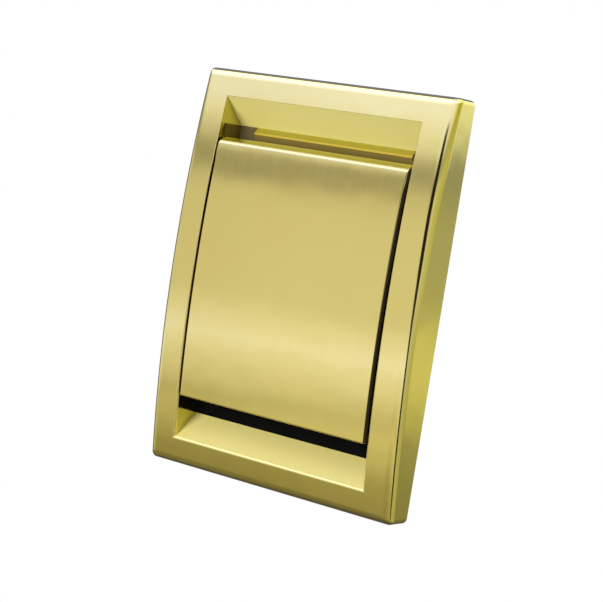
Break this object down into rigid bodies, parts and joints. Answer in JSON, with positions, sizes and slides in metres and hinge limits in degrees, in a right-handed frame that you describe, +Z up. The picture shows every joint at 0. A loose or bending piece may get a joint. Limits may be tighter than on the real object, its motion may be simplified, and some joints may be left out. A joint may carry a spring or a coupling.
{
  "type": "central vacuum wall inlet",
  "caption": "Bowed rectangular brass wall plate with a recessed top-hinged sprung door that seals a hose port, a rear tube spigot and sprung low-voltage contacts.",
  "frame": {"origin": "on the axis of the hose port, in the plane of the wall", "axes": "+X right as seen from the room, +Y into the wall, +Z up; the door faces -Y"},
  "size_m": [0.09, 0.0441, 0.121],
  "materials": {
    "polished_brass": "mirror polished, clear lacquered",
    "bright_steel": "bright zinc plated",
    "spring_steel": "drawn wire",
    "white_nylon": "natural nylon",
    "black_rubber": "matt black rubber",
    "black_plastic": "fine-textured moulded plastic",
    "contact_brass": "plain contact brass"
  },
  "bodies": {
    "body": {"face_frame": "polished_brass", "inlet_body": "black_plastic", "port_tube": "black_plastic", "contact_housings": "black_plastic", "hinge_pin": "bright_steel", "pin_clips": "bright_steel", "return_spring": "spring_steel", "flap_bumpers": "black_rubber", "spigot_gasket": "black_rubber", "contact_spring_left": "spring_steel", "contact_spring_right": "spring_steel", "contact_cap_left": "contact_brass", "contact_cap_right": "contact_brass", "terminal_left": "contact_brass", "terminal_right": "contact_brass", "terminal_screws": "bright_steel", "body_screws": "bright_steel", "fixing_screws": "bright_steel"},
    "door": {"flap": "polished_brass", "hinge_bushes": "white_nylon", "flap_seal": "black_rubber", "seal_retainer": "bright_steel", "seal_screw": "bright_steel"},
    "contact_left": {"contact_pin_left": "contact_brass"},
    "contact_right": {"contact_pin_right": "contact_brass"}
  },
  "joints": [
    {"name": "flap_hinge", "type": "hinge", "parent": "body", "child": "door", "pos_m": [0, -0.00796, 0.0357], "axis": [-1, 0, 0], "range_deg": [0, 120], "stiffness_Nm_per_rad": 0.02, "springref_deg": -85.94, "deforming": ["return_spring"]},
    {"name": "contact_left_press", "type": "slide", "parent": "body", "child": "contact_left", "axis": [-1, 0, 0], "range_m": [0, 0.001], "stiffness_N_per_m": 250, "springref_m": -0.002, "deforming": ["contact_spring_left"]},
    {"name": "contact_right_press", "type": "slide", "parent": "body", "child": "contact_right", "axis": [1, 0, 0], "range_m": [0, 0.001], "stiffness_N_per_m": 250, "springref_m": -0.002, "deforming": ["contact_spring_right"]}
  ]
}
